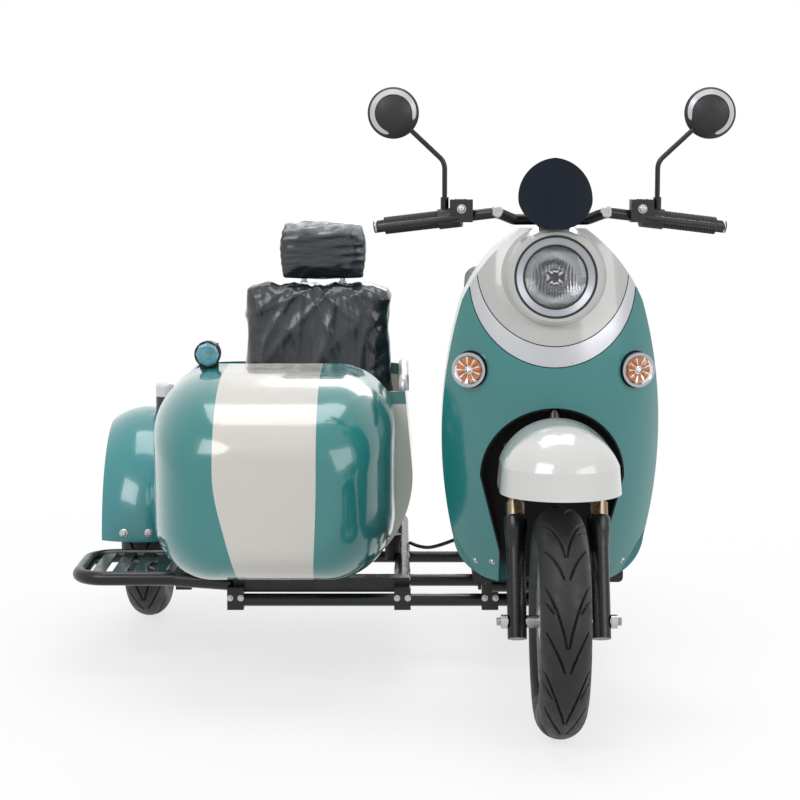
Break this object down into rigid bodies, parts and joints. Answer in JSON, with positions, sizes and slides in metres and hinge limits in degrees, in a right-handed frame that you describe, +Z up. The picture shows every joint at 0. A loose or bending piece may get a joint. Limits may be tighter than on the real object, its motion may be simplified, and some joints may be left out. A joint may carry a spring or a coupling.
{
  "type": "electric sidecar tricycle",
  "caption": "Small electric scooter with a round front shield and headlamp, joined by cross tubes to a one-seat sidecar with its own wheel, mudguard and step rack.",
  "frame": {"origin": "on the ground, under the middle of the whole vehicle's box", "axes": "+Z up, the vehicle faces -Y, the sidecar is on the -X side"},
  "size_m": [1.348, 1.7159, 1.2059],
  "materials": {
    "teal_gloss": "gloss",
    "white_gloss": "gloss",
    "silver_trim": "satin",
    "black_paint": "gloss",
    "black_plastic": "satin",
    "rubber": "matte",
    "tyre": "matte",
    "alloy": "satin",
    "steel": "satin",
    "chrome": "polished",
    "bronze_tube": "polished",
    "clear_lens": "clear",
    "smoked_screen": "clear",
    "red_lens": "gloss",
    "seat_vinyl": "satin"
  },
  "bodies": {
    "chassis": {"scooter_frame": "black_paint", "leg_shield": "teal_gloss", "silver_band": "silver_trim", "head_cowl": "white_gloss", "arch_liner": "black_plastic", "knee_panel": "teal_gloss", "headlamp_bezel": "white_gloss", "headlamp_ring": "chrome", "headlamp_reflector": "chrome", "headlamp_lens": "clear_lens", "signal_bezels": "chrome", "signal_lenses": "clear_lens", "windscreen": "smoked_screen", "instrument": "black_plastic", "floorboard": "black_plastic", "rear_body": "teal_gloss", "battery": "black_plastic", "rear_fender": "black_plastic", "tail_lamp": "red_lens", "rear_signals": "black_plastic", "carrier": "black_paint", "swingarm": "black_paint", "shocks": "black_paint", "sidecar_frame": "black_paint", "cross_tubes": "black_paint", "step_rack": "black_paint", "nose": "teal_gloss", "tub": "white_gloss", "seat_base": "black_plastic", "seat_cushion": "seat_vinyl", "backrest": "seat_vinyl", "headrest": "seat_vinyl", "grab_rail": "alloy", "mudguard": "teal_gloss", "marker_lamp": "black_plastic", "aux_lamp": "black_plastic", "wiring_lead": "rubber"},
    "steering": {"fork_yoke": "bronze_tube", "fork_legs": "black_paint", "front_fender": "white_gloss", "handlebar": "black_paint", "grips": "rubber", "controls": "black_plastic", "mirror_stems": "black_paint", "mirrors": "black_plastic", "front_axle": "steel", "brake_caliper": "black_paint"},
    "front_wheel": {"front_tyre": "tyre", "front_rim": "alloy", "brake_disc": "steel"},
    "rear_wheel": {"rear_tyre": "tyre", "rear_motor_wheel": "alloy"},
    "sidecar_wheel": {"sidecar_tyre": "tyre", "sidecar_rim": "alloy"},
    "saddle": {"saddle_pan": "black_plastic", "saddle_pad": "seat_vinyl"},
    "side_stand": {"side_stand": "black_paint"}
  },
  "joints": [
    {"name": "steer", "type": "hinge", "parent": "chassis", "child": "steering", "pos_m": [0.316, -0.48575, 0.56], "axis": [0, 0.3746, 0.9272], "range_deg": [-35, 35]},
    {"name": "front_spin", "type": "hinge", "parent": "steering", "child": "front_wheel", "pos_m": [0.316, -0.642, 0.216], "axis": [1, 0, 0], "continuous": true},
    {"name": "rear_spin", "type": "hinge", "parent": "chassis", "child": "rear_wheel", "pos_m": [0.316, 0.558, 0.216], "axis": [1, 0, 0], "continuous": true},
    {"name": "sidecar_spin", "type": "hinge", "parent": "chassis", "child": "sidecar_wheel", "pos_m": [-0.564, 0.398, 0.216], "axis": [1, 0, 0], "continuous": true},
    {"name": "saddle_lid", "type": "hinge", "parent": "chassis", "child": "saddle", "pos_m": [0.316, 0.084, 0.694], "axis": [1, 0, 0], "range_deg": [0, 75]},
    {"name": "stand_fold", "type": "hinge", "parent": "chassis", "child": "side_stand", "pos_m": [0.458, -0.094, 0.209], "axis": [-1, 0, 0], "range_deg": [0, 90]}
  ]
}
